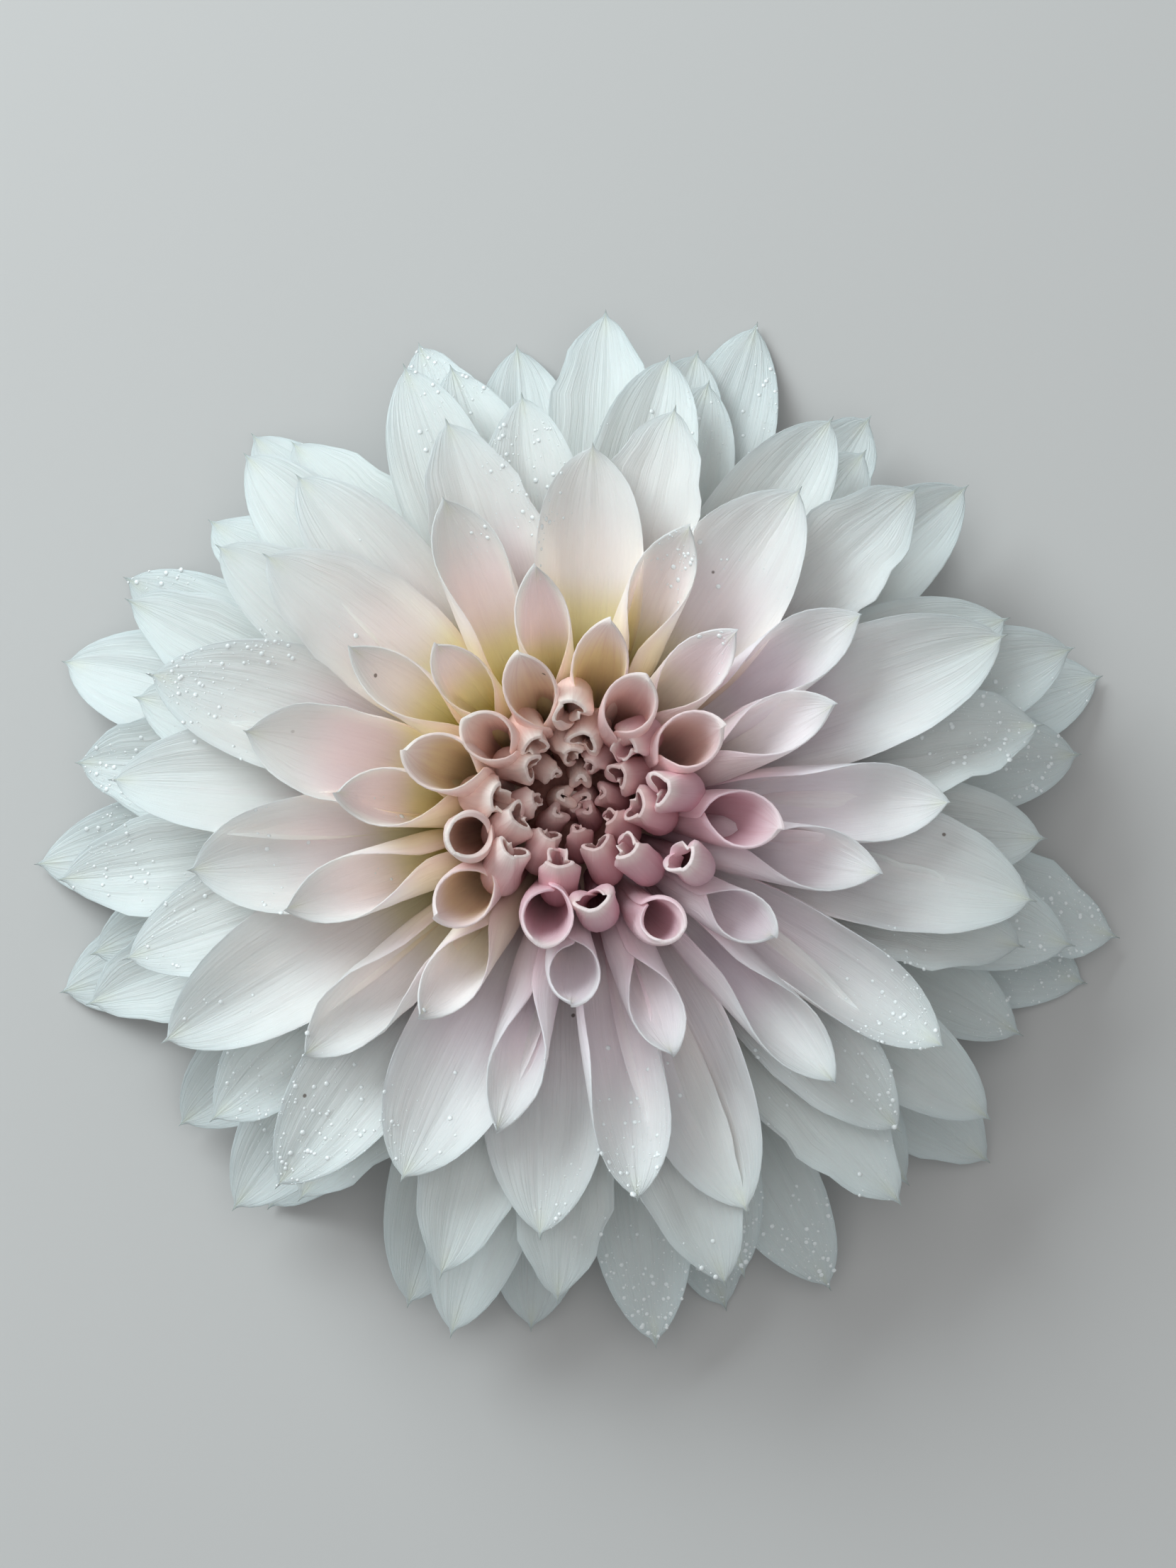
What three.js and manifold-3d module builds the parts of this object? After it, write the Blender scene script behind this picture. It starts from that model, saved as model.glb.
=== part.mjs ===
// A dahlia bloom lying face up: a short cut stalk with leafy outer bracts, a cup of pale inner
// bracts, the open cream ray florets, and the pink centre of florets that are still rolled up.
import * as THREE from 'three';
import Module from 'manifold-3d';

// Florets stand on the head in a golden-angle spiral, counted outward from the middle.
const FLORET_COUNT = 144;
const CENTRE_COUNT = 42;
const GOLDEN_ANGLE = 137.50776;
const FIRST_BEARING = 116;

// The domed head the florets are rooted in, and the small disc in its middle, millimetres.
const HEAD_RADIUS = 11;
const HEAD_TOP = 17;
const HEAD_DROP = 6.5;
const HEAD_OUTLINE = [[11.8, 9.2], [13.8, 11.1], [12.3, 17.2], [8, 21.4]];
const DISC_RADIUS = 6.6;
const DISC_FOOT = 14;
const DISC_TOP = 22;

// Thickness of an open blade and of a tube's wall, and the gap kept round the pink centre.
const BLADE = 0.7;
const TUBE_WALL = 0.8;
const CLEARANCE = 0.3;

// Power of the cut from a tube's shoulder to its tip: 1 is a straight cut, more rounds it.
const MOUTH_TAPER = 1.35;

// A drooping floret starts to level out at one height and lies on the table at the other.
const LYING_START = 4;
const LYING_HEIGHT = 0.5;

// Stalk, outer bracts and the cup of inner bracts.
const STALK_RADIUS = 3.6;
const STALK_TOP = 4.7;
const OUTER_BRACTS = 5;
const OUTER_BRACT_REACH = 15;
const OUTER_BRACT_WIDTH = 7;
const INNER_BRACTS = 8;
const INNER_BRACT_RADIUS = 12.6;
const INNER_BRACT_TOP = 8.9;

const wasm = await Module();
wasm.setup();

const rad = (degrees) => (degrees * Math.PI) / 180;
const mix = (from, to, share) => from + (to - from) * share;
const clamp01 = (value) => Math.min(1, Math.max(0, value));

function smooth(from, to, value) {
  const share = clamp01((value - from) / (to - from));
  return share * share * (3 - 2 * share);
}

// Even but irregular scatter from -1 to 1: each floret takes the next stride of an irrational.
function spread(n, root) {
  const stride = (n + 1) * Math.sqrt(root);
  return 2 * (stride - Math.floor(stride)) - 1;
}

// Everything that sets one floret apart: where it is rooted, where its tip is, how far it has
// unrolled, how wide it is and how it leans.
function floret(n) {
  const age = n / (FLORET_COUNT - 1);
  const loose = Math.min(1, n / 30);
  const bearing = rad(FIRST_BEARING + GOLDEN_ANGLE * n + 4 * spread(n, 2) * loose);
  const rootRadius = HEAD_RADIUS * Math.sqrt((n + 0.5) / FLORET_COUNT);
  const rootHeight = HEAD_TOP - HEAD_DROP * (rootRadius / HEAD_RADIUS) ** 2;
  // The side away from the light stays rolled a little longer.
  const lag = 5 * Math.cos(bearing - rad(280)) * smooth(20, 40, n) * (1 - smooth(80, 110, n));
  const ripe = n - lag + 3 * spread(n, 23) * smooth(10, 30, n);
  const budReach = 0.9 + 0.37 * n + 4 * smooth(25, 32, ripe);
  const openReach = 64.8 - 15 * Math.exp(-(n - 60) / 35);
  const droop = 41 - 45 * (Math.max(n - 30, 0) / 113) ** 1.2;
  const sunken = 28 + 0.36 * n - 3 * Math.exp(-n / 4);
  const height = mix(sunken, droop, smooth(24, 44, n));
  const reach = mix(budReach, openReach, smooth(26, 75, n)) * (1 - 0.0024 * (height - 5));
  const rolled = 1 - smooth(50, 68, ripe);
  const bud = 1 - smooth(25, 34, ripe);
  // The bloom is a little wider than it is long, and shorter on its far side.
  const lopsided = 0.028 * Math.cos(bearing - rad(110)) + 0.017 * (1 - Math.cos(2 * bearing));
  const budLean = mix(100, 146, smooth(0, 10, n)) - 8 * smooth(12, 24, n);
  const tubeLean = mix(72, 46, smooth(38, 58, ripe));
  const openLean = 3 - 36 * age * age;
  const tipLean = mix(mix(tubeLean, budLean, bud), openLean, smooth(50, 80, ripe));
  // A tube's mouth is cut back along part of it, the further the more it has opened.
  const mouth = mix(0.8, 0.5, smooth(32, 50, ripe));
  const width = 10.4 + 5.4 * smooth(0, 24, n) + 1.6 * smooth(26, 36, ripe)
    + 1.6 * smooth(38, 50, ripe) - 5.4 * smooth(56, 80, ripe);
  return {
    bearing,
    rootRadius,
    rootHeight,
    reach: reach * (1 + 0.06 * spread(n, 3) * Math.min(1, n / 60) - lopsided),
    height: height + spread(n, 7) * loose,
    rootLean: rad(50 + 38 * Math.exp(-n / 5) - 54 * age ** 1.6),
    tipLean: rad(tipLean + 6 * spread(n, 11)),
    rolled,
    bud,
    tight: bud * mix(1, 0.6, smooth(5, 18, n)),
    wrap: rad(mix(50 - 24 * age, 176, rolled ** 0.6)) * (1 + 0.12 * spread(n, 13) * (1 - rolled)),
    width: width * (1 + 0.08 * spread(n, 5)),
    shoulder: mix(mix(0.62, mouth, rolled), 0.93, bud),
    twist: rad(11) * spread(n, 17) * (1 - 0.6 * rolled),
    sway: 0.06 * spread(n, 19),
    wave: 0.35 * (1 - rolled) * (1 + spread(n, 29)),
    wavePhase: Math.PI * spread(n, 31),
  };
}

// Centre line of a floret in its own upright plane, and the direction it runs in.
function midrib(f, u) {
  const span = Math.hypot(f.reach - f.rootRadius, f.height - f.rootHeight);
  const pull = (0.36 + 0.14 * f.bud) * span;
  const xs = [
    f.rootRadius,
    f.rootRadius + pull * Math.cos(f.rootLean),
    f.reach - pull * Math.cos(f.tipLean),
    f.reach,
  ];
  const zs = [
    f.rootHeight,
    f.rootHeight + pull * Math.sin(f.rootLean),
    f.height - pull * Math.sin(f.tipLean),
    f.height,
  ];
  const s = 1 - u;
  const place = (p) => s ** 3 * p[0] + 3 * s * s * u * p[1] + 3 * s * u * u * p[2] + u ** 3 * p[3];
  const slope = (p) => s * s * (p[1] - p[0]) + 2 * s * u * (p[2] - p[1]) + u * u * (p[3] - p[2]);
  const run = slope(xs);
  const rise = slope(zs);
  const length = Math.hypot(run, rise);
  return { x: place(xs), z: place(zs), tx: run / length, tz: rise / length, span };
}

// How much of the full roll is left at u: all of it up to the shoulder, then cut back to the tip.
function tipShare(f, u) {
  const q = clamp01((u - f.shoulder) / (1 - f.shoulder));
  const end = 0.8 * f.bud;
  return end + (1 - end) * (1 - q ** mix(2.2, MOUTH_TAPER, f.rolled)) ** mix(0.72, 1, f.rolled);
}

// Radius and half angle of the roll at u, before the tip is cut back.
function roll(f, u) {
  const swell = Math.sin((Math.PI / 2) * clamp01(u / f.shoulder)) ** mix(1.5, 1.7, f.rolled);
  const full = f.width * mix(0.24, 1, swell);
  const rootWrap = mix(rad(80), rad(178), f.rolled);
  const wrap = mix(rootWrap, f.wrap, smooth(0.02, mix(0.25, 0.55, f.rolled), u));
  const pinch = 1 - 0.42 * f.tight * smooth(0.5, 0.96, u);
  const flare = 1 + 0.1 * f.rolled * (1 - f.tight) * smooth(0.5, 0.9, u);
  return { radius: (full / (2 * wrap)) * pinch * flare, wrap };
}

// A point of the floret: u along it, turn round the roll from its back, out from its mid surface.
function rollPoint(f, u, turn, out) {
  const line = midrib(f, u);
  const { radius } = roll(f, u);
  const across = (radius + out) * Math.sin(turn);
  const up = radius - (radius + out) * Math.cos(turn);
  const side = Math.abs(turn) * radius;
  const fold = 0.16 * smooth(0.3, 0.9, u) * (1 - f.rolled) * side;
  const lean = turn / Math.max(f.wrap, 0.1);
  const ripple = Math.sin(3 * Math.PI * u + f.wavePhase + 1.5 * lean);
  const lifted = up + fold + f.wave * lean * lean * ripple * smooth(0.25, 0.6, u);
  const twist = f.twist * u;
  const b = across * Math.cos(twist) - lifted * Math.sin(twist) + f.sway * line.span * u * u;
  const h = across * Math.sin(twist) + lifted * Math.cos(twist);
  const r = line.x - h * line.tz;
  const z = line.z + h * line.tx;
  const depth = LYING_START - LYING_HEIGHT;
  const lying = LYING_HEIGHT + depth * Math.exp(Math.min((z - LYING_START) / depth, 0));
  return new THREE.Vector3(
    r * Math.cos(f.bearing) - b * Math.sin(f.bearing),
    r * Math.sin(f.bearing) + b * Math.cos(f.bearing),
    z > LYING_START ? z : lying,
  );
}

// A solid from shared corners and triangles.
function solid(points, faces) {
  const vertProperties = new Float32Array(points.flatMap((p) => [p.x, p.y, p.z]));
  const triVerts = new Uint32Array(faces.flat());
  return new wasm.Manifold(new wasm.Mesh({ numProp: 3, vertProperties, triVerts }));
}

// Splits the four-sided patch a, b, c, d into two triangles.
const patch = (a, b, c, d) => [[a, b, c], [a, c, d]];

// Blade of even thickness over the mid surface place(s, v), s from root to tip, v from -1 to 1.
function blade(place, steps, columns, thickness) {
  const nudge = 0.01;
  const points = [];
  const pair = (s, v) => {
    const along = place(Math.min(s + nudge, 0.999), v).sub(place(Math.max(s - nudge, 0), v));
    const across = place(Math.min(s, 0.97), v + nudge).sub(place(Math.min(s, 0.97), v - nudge));
    const normal = along.cross(across).normalize().multiplyScalar(thickness / 2);
    const middle = place(s, v);
    points.push(middle.clone().add(normal), middle.clone().sub(normal));
  };
  for (const s of steps) {
    for (const v of columns) {
      pair(s, v);
    }
  }
  pair(1, 0);
  const wide = columns.length;
  const at = (i, j, face) => 2 * (i * wide + j) + face;
  const last = steps.length - 1;
  const tip = 2 * steps.length * wide;
  const faces = [];
  for (let i = 0; i < last; i += 1) {
    for (let j = 0; j < wide - 1; j += 1) {
      faces.push(...patch(at(i, j, 0), at(i + 1, j, 0), at(i + 1, j + 1, 0), at(i, j + 1, 0)));
      faces.push([at(i, j, 1), at(i + 1, j + 1, 1), at(i + 1, j, 1)]);
      faces.push([at(i, j, 1), at(i, j + 1, 1), at(i + 1, j + 1, 1)]);
    }
    faces.push(...patch(at(i, 0, 0), at(i, 0, 1), at(i + 1, 0, 1), at(i + 1, 0, 0)));
    const edge = wide - 1;
    faces.push(...patch(at(i, edge, 0), at(i + 1, edge, 0), at(i + 1, edge, 1), at(i, edge, 1)));
  }
  for (let j = 0; j < wide - 1; j += 1) {
    faces.push(...patch(at(0, j, 0), at(0, j + 1, 0), at(0, j + 1, 1), at(0, j, 1)));
    faces.push([at(last, j, 0), tip, at(last, j + 1, 0)]);
    faces.push([at(last, j, 1), at(last, j + 1, 1), tip + 1]);
  }
  faces.push(...patch(at(last, 0, 0), at(last, 0, 1), tip + 1, tip));
  faces.push(...patch(at(last, wide - 1, 0), tip, tip + 1, at(last, wide - 1, 1)));
  return solid(points, faces);
}

// An open or half-open ray floret, from just inside the head to its pointed tip.
function rayFloret(n) {
  const f = floret(n);
  const start = 0.03;
  const place = (s, v) => {
    const u = mix(start, 1, s);
    const { wrap } = roll(f, u);
    return rollPoint(f, u, v * Math.min(wrap, rad(155)) * tipShare(f, u), 0);
  };
  const shoulder = (f.shoulder - start) / (1 - start);
  const toTip = (q) => mix(shoulder, 1, q);
  if (f.rolled > 0.35) {
    const steps = [0, 0.5 * shoulder, toTip(0.1), toTip(0.68)];
    return blade(place, steps, [-1, -0.5, 0, 0.5, 1], BLADE);
  }
  const steps = [0, 0.5 * shoulder, toTip(0.15), toTip(0.75)];
  return blade(place, steps, n < 75 ? [-1, -0.45, 0.45, 1] : [-1, 0, 1], BLADE);
}

// A rolled floret: a slim tube with an open slanting mouth. Swollen by a margin and with no
// mouth it is the room the tube needs.
function rolledFloret(n, margin) {
  const f = floret(n);
  const sides = 6;
  const turns = Array.from({ length: sides }, (_, k) => Math.PI * ((2 * k) / sides - 1));
  const rim = (turn) => {
    const end = 0.8 * f.bud;
    const share = clamp01((Math.abs(turn) / Math.PI - end) / (1 - end));
    return f.shoulder + (1 - f.shoulder) * (1 - share) ** (1 / MOUTH_TAPER);
  };
  const wall = TUBE_WALL / 2;
  const rings = [0, 0.5, 1];
  const points = [];
  for (const share of rings) {
    for (const turn of turns) {
      points.push(rollPoint(f, rim(turn) * share, turn, wall + margin));
    }
  }
  const faces = [];
  const ring = (i, k) => i * sides + (k % sides);
  const loops = margin > 0 ? rings.length : rings.length + 1;
  if (margin === 0) {
    for (const turn of turns) {
      points.push(rollPoint(f, rim(turn) * 0.995, turn, -wall));
    }
  }
  for (let i = 0; i < loops - 1; i += 1) {
    for (let k = 0; k < sides; k += 1) {
      faces.push(...patch(ring(i, k), ring(i, k + 1), ring(i + 1, k + 1), ring(i + 1, k)));
    }
  }
  const depth = margin > 0 ? 1 : 0.8;
  const { radius } = roll(f, depth);
  const base = points.length;
  points.push(rollPoint(f, 0, 0, 0), rollPoint(f, depth, 0, -radius));
  for (let k = 0; k < sides; k += 1) {
    faces.push([ring(0, k + 1), ring(0, k), base]);
    faces.push([ring(loops - 1, k), ring(loops - 1, k + 1), base + 1]);
  }
  return solid(points, faces);
}

// A body of revolution about the flower's axis, from its outline listed bottom to top.
function turned(outline, sides) {
  const points = [];
  for (const [radius, z] of outline) {
    for (let k = 0; k < sides; k += 1) {
      const angle = (2 * Math.PI * k) / sides;
      points.push(new THREE.Vector3(radius * Math.cos(angle), radius * Math.sin(angle), z));
    }
  }
  const faces = [];
  const ring = (i, k) => i * sides + (k % sides);
  for (let i = 0; i < outline.length - 1; i += 1) {
    for (let k = 0; k < sides; k += 1) {
      faces.push(...patch(ring(i, k), ring(i, k + 1), ring(i + 1, k + 1), ring(i + 1, k)));
    }
  }
  const bottom = points.length;
  points.push(new THREE.Vector3(0, 0, outline[0][1]));
  points.push(new THREE.Vector3(0, 0, outline[outline.length - 1][1]));
  for (let k = 0; k < sides; k += 1) {
    faces.push([ring(0, k + 1), ring(0, k), bottom]);
    faces.push([ring(outline.length - 1, k), ring(outline.length - 1, k + 1), bottom + 1]);
  }
  return solid(points, faces);
}

// The largest connected body of a solid; loose scraps are dropped.
function mainBody(shape) {
  return shape.decompose().sort((a, b) => b.volume() - a.volume())[0];
}

const ranks = Array.from({ length: FLORET_COUNT }, (_, n) => n);
const centreRanks = ranks.slice(0, CENTRE_COUNT);
const rayRanks = ranks.slice(CENTRE_COUNT);

// Pink centre: rolled florets standing on a small disc in the middle of the head.
const disc = (margin) => turned([
  [DISC_RADIUS + margin, DISC_FOOT - margin],
  [DISC_RADIUS + margin, DISC_TOP + margin],
], 12);
const centreTubes = centreRanks.map((n) => rolledFloret(n, 0));
const centreFlorets = mainBody(wasm.Manifold.union([disc(0), ...centreTubes]));
const tubeRoom = centreRanks.map((n) => rolledFloret(n, CLEARANCE));
const centreRoom = wasm.Manifold.union([disc(CLEARANCE), ...tubeRoom]);

// Cream ray florets, rooted in the rim of the head and cut clear of the rolled centre.
const head = turned(HEAD_OUTLINE, 12);
const rays = wasm.Manifold.union([head, ...rayRanks.map(rayFloret)]);
const rayFlorets = mainBody(rays.subtract(centreRoom));

// Inner bracts: thin scales lapped into a shallow cup under the head.
const cup = turned([[4.4, 5], [9, 6.6], [11, INNER_BRACT_TOP]], 16);
const innerScales = Array.from({ length: INNER_BRACTS }, (_, k) => {
  const bearing = (2 * Math.PI * (k + 0.5)) / INNER_BRACTS;
  const place = (s, v) => {
    const r = mix(6, INNER_BRACT_RADIUS, s);
    const z = mix(5.9, INNER_BRACT_TOP - 0.5, s ** 1.3);
    const b = v * 4.2 * (1 - s ** 4) ** 0.7;
    return new THREE.Vector3(
      r * Math.cos(bearing) - b * Math.sin(bearing),
      r * Math.sin(bearing) + b * Math.cos(bearing),
      z,
    );
  };
  return blade(place, [0, 0.6, 0.9], [-1, 0, 1], BLADE);
});
const innerBracts = mainBody(wasm.Manifold.union([cup, ...innerScales]));

// Stalk stub, cut off flat, with the fleshy outer bracts spreading out of its top.
const stalk = turned([[STALK_RADIUS, 0], [STALK_RADIUS, 2.6], [4.2, STALK_TOP]], 16);
const outerLeaves = Array.from({ length: OUTER_BRACTS }, (_, k) => {
  const bearing = (2 * Math.PI * k) / OUTER_BRACTS + rad(12);
  const place = (s, v) => {
    const r = mix(1.5, OUTER_BRACT_REACH, s);
    const width = OUTER_BRACT_WIDTH * mix(0.5, 1, Math.sin(Math.PI * Math.min(s / 1.3, 1)));
    const b = ((v * width) / 2) * (1 - s ** 5) ** 0.6;
    const z = 3.4 + 1.5 * Math.sin(Math.PI * s * 0.9) - 1.7 * s * s + 0.05 * b * b;
    return new THREE.Vector3(
      r * Math.cos(bearing) - b * Math.sin(bearing),
      r * Math.sin(bearing) + b * Math.cos(bearing),
      z,
    );
  };
  return blade(place, [0, 0.35, 0.7, 0.92], [-1, 0, 1], 1);
});
const stalkAndOuterBracts = mainBody(wasm.Manifold.union([stalk, ...outerLeaves]));

// Turns a finished solid into a named mesh.
function meshOf(name, shape, material) {
  const { vertProperties, triVerts } = shape.getMesh();
  const geometry = new THREE.BufferGeometry();
  geometry.setAttribute('position', new THREE.BufferAttribute(vertProperties, 3));
  geometry.setIndex(new THREE.BufferAttribute(triVerts, 1));
  geometry.computeVertexNormals();
  const mesh = new THREE.Mesh(geometry, material);
  mesh.name = name;
  return mesh;
}

const finish = (color, roughness) => new THREE.MeshStandardMaterial({
  color,
  roughness,
  metalness: 0,
  flatShading: true,
});

const bloom = new THREE.Group();
bloom.name = 'dahlia_bloom';
bloom.add(
  meshOf('ray_florets', rayFlorets, finish(0xf1efe6, 0.6)),
  meshOf('centre_florets', centreFlorets, finish(0xd9aca4, 0.6)),
  meshOf('inner_bracts', innerBracts, finish(0xb9b183, 0.7)),
  meshOf('stalk_and_outer_bracts', stalkAndOuterBracts, finish(0x6f8a45, 0.65)),
);

// The bloom stands on its lowest point, centred over the frame's origin.
const box = new THREE.Box3().setFromObject(bloom);
const middle = box.getCenter(new THREE.Vector3());
bloom.position.set(-middle.x, -middle.y, -box.min.z);

export default bloom;
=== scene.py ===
import math
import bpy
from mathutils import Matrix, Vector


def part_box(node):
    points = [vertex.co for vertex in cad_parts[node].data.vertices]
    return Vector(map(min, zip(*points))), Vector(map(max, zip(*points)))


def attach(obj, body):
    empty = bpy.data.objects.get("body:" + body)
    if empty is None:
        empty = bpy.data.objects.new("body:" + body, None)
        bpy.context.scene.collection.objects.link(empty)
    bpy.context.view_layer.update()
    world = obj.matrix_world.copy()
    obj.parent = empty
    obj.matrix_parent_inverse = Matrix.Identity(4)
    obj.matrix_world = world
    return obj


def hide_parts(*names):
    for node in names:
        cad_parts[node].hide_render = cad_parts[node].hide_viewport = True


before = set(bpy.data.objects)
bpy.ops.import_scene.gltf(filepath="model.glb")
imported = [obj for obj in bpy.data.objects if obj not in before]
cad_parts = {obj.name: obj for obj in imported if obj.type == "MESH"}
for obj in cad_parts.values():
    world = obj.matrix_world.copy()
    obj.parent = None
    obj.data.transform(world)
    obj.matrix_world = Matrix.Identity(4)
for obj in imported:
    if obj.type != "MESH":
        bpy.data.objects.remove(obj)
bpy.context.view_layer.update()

from types import SimpleNamespace

import bmesh
import bpy
from mathutils import Vector

# Open ray florets. On the real bloom each is one thin living petal, rooted by a narrow claw in
# the head, with a spiral order that sets its size, its place and how far it has unrolled.
# They are grown here by one node tree, which the rolled florets of the centre share.
FLORETS = 144
FIRST_OPEN = 42
FIRST_BACK_ROW = 92
GOLDEN_ANGLE = 137.50776
FIRST_BEARING = 116.0

# Lengths are in millimetres until a point is placed.
MM = 0.001
DEGREE = math.radians(1)
PETAL_THICKNESS = 0.42
HEAD_RADIUS = 11.0
HEAD_TOP = 17.0
HEAD_DROP = 6.5
LONGEST_REACH = 64.8
HIGHEST_TIP = 41.0
HEART_TIP = 28.0
BLOOM_RADIUS = 65.0

# Ripeness, counted in ranks, over which a bud opens its mouth and a tube unrolls.
MOUTH_OPENS = (25, 34)
TUBE_UNROLLS = (50, 68)

# Half the angle of a tube's roll in degrees: past 180 its margins overlap.
TUBE_WRAP = 190.0

# Power of the cut from a tube's shoulder to its tip: 1 is a straight cut, more rounds it.
MOUTH_TAPER = 1.35

# A drooping petal starts to level out at one height and lies on the table at the other.
LYING_START = 4.0
LYING_HEIGHT = 0.5

# Points closer than this, in metres, are made one, which closes each blade.
SEAM = 2e-6


class Measure:
    """A number that differs from point to point of a petal, worked out by Math nodes."""

    def __init__(self, tree, socket):
        self.tree = tree
        self.socket = socket

    def step(self, operation, *values):
        node = self.tree.nodes.new("ShaderNodeMath")
        node.operation = operation
        for slot, value in zip(node.inputs, values):
            if isinstance(value, Measure):
                self.tree.links.new(value.socket, slot)
            else:
                slot.default_value = value
        return Measure(self.tree, node.outputs[0])

    def __add__(self, other):
        return self.step("ADD", self, other)

    def __radd__(self, other):
        return self.step("ADD", other, self)

    def __sub__(self, other):
        return self.step("SUBTRACT", self, other)

    def __rsub__(self, other):
        return self.step("SUBTRACT", other, self)

    def __mul__(self, other):
        return self.step("MULTIPLY", self, other)

    def __rmul__(self, other):
        return self.step("MULTIPLY", other, self)

    def __truediv__(self, other):
        return self.step("DIVIDE", self, other)

    def __pow__(self, other):
        return self.step("POWER", self, other)

    def sin(self):
        return self.step("SINE", self)

    def cos(self):
        return self.step("COSINE", self)

    def exp(self):
        return self.step("EXPONENT", self)

    def root(self):
        return self.step("SQRT", self)

    def absolute(self):
        return self.step("ABSOLUTE", self)

    def sign(self):
        return self.step("SIGN", self)

    def least(self, other):
        return self.step("MINIMUM", self, other)

    def most(self, other):
        return self.step("MAXIMUM", self, other)

    def fraction(self):
        return self.step("FRACT", self)


def mix(start, end, share):
    return start + (end - start) * share


def smooth(start, end, value):
    """From 0 at the start to 1 at the end, with no corner at either."""
    node = value.tree.nodes.new("ShaderNodeMapRange")
    node.interpolation_type = "SMOOTHSTEP"
    value.tree.links.new(value.socket, node.inputs["Value"])
    for name, limit in (("From Min", start), ("From Max", end)):
        if isinstance(limit, Measure):
            value.tree.links.new(limit.socket, node.inputs[name])
        else:
            node.inputs[name].default_value = limit
    return Measure(value.tree, node.outputs[0])


def spread(rank, stride):
    """Irregular but fixed scatter from -1 to 1, a stride of an irrational for each floret."""
    return ((rank + 1.0) * math.sqrt(stride)).fraction() * 2.0 - 1.0


def joined(tree, kind, **links):
    """A new node with its named inputs linked or set; an underscore stands for a space."""
    node = tree.nodes.new(kind)
    for name, value in links.items():
        slot = node.inputs[name.replace("_", " ")]
        if isinstance(value, Measure):
            tree.links.new(value.socket, slot)
        elif isinstance(value, bpy.types.NodeSocket):
            tree.links.new(value, slot)
        else:
            slot.default_value = value
    return node


def kept(tree, geometry, name, value):
    """Keeps a measure on every point under a name the materials can read."""
    node = joined(tree, "GeometryNodeStoreNamedAttribute", Geometry=geometry, Name=name)
    tree.links.new(value.socket, node.inputs["Value"])
    return node.outputs["Geometry"]


def recalled(tree, name):
    node = joined(tree, "GeometryNodeInputNamedAttribute", Name=name)
    return Measure(tree, node.outputs["Attribute"])


def tree_with(name, inputs):
    """An empty geometry tree with named inputs, and the sockets that hand them in."""
    tree = bpy.data.node_groups.new(name, "GeometryNodeTree")
    face = tree.interface
    face.new_socket("Geometry", in_out="OUTPUT", socket_type="NodeSocketGeometry")
    for label, kind, value in inputs:
        socket = face.new_socket(label, in_out="INPUT", socket_type="NodeSocket" + kind)
        if value is not None:
            socket.default_value = value
    return tree, tree.nodes.new("NodeGroupInput").outputs


def finish_tree(tree, geometry, material):
    """Ends a tree: smooth shading, its material, and everything made real."""
    shade = joined(tree, "GeometryNodeSetShadeSmooth", Geometry=geometry)
    coated = joined(tree, "GeometryNodeSetMaterial", Geometry=shade.outputs["Geometry"],
                    Material=material)
    whole = joined(tree, "GeometryNodeRealizeInstances", Geometry=coated.outputs["Geometry"])
    result = tree.nodes.new("NodeGroupOutput")
    tree.links.new(whole.outputs["Geometry"], result.inputs[0])


def numbered_sheets(tree, count, first, rows_along, rows_around):
    """One flat sheet for each rank, to be bent round its blade and closed at its margins."""
    line = joined(tree, "GeometryNodeMeshLine", Count=count)
    index = Measure(tree, tree.nodes.new("GeometryNodeInputIndex").outputs[0])
    ranked = kept(tree, line.outputs["Mesh"], "rank", index + first)
    sheet = joined(tree, "GeometryNodeMeshGrid", Size_X=1.0, Size_Y=1.0,
                   Vertices_X=rows_along, Vertices_Y=rows_around)
    place = tree.nodes.new("ShaderNodeSeparateXYZ")
    tree.links.new(tree.nodes.new("GeometryNodeInputPosition").outputs[0], place.inputs[0])
    sheet = kept(tree, sheet.outputs["Mesh"], "row", Measure(tree, place.outputs["X"]) + 0.5)
    sheet = kept(tree, sheet, "lap", Measure(tree, place.outputs["Y"]) + 0.5)
    many = joined(tree, "GeometryNodeInstanceOnPoints", Points=ranked, Instance=sheet)
    real = joined(tree, "GeometryNodeRealizeInstances", Geometry=many.outputs["Instances"])
    return real.outputs["Geometry"]


def round_the_blade(lap):
    """Where a lap of a sheet lies on its blade: from margin to margin, -1 to 1, and on which
    face, 1 over the upper one and -1 under the lower one, rounded at the margins."""
    way_round = lap * (2 * math.pi)
    from_middle = way_round.cos() * -1.0
    edge = way_round.sin()
    return from_middle, (edge.absolute() ** 0.5) * edge.sign()


def placed(tree, size, bearing, out, aside, up):
    """A point in metres, from its millimetres out from the bloom's axis, aside and up."""
    cosine, sine = bearing.cos(), bearing.sin()
    x = size("Axis X") + MM * (out * cosine - aside * sine)
    y = size("Axis Y") + MM * (out * sine + aside * cosine)
    return joined(tree, "ShaderNodeCombineXYZ", X=x, Y=y, Z=MM * up).outputs[0]


def close_blades(tree, sheets, measures, spot, material):
    """Bends the sheets into blades that keep their measures, closes them and ends the tree."""
    for name, value in measures.items():
        sheets = kept(tree, sheets, name, value)
    shaped = joined(tree, "GeometryNodeSetPosition", Geometry=sheets, Position=spot)
    closed = joined(tree, "GeometryNodeMergeByDistance", Geometry=shaped.outputs["Geometry"],
                    Distance=SEAM)
    finish_tree(tree, closed.outputs["Geometry"], material)


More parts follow.
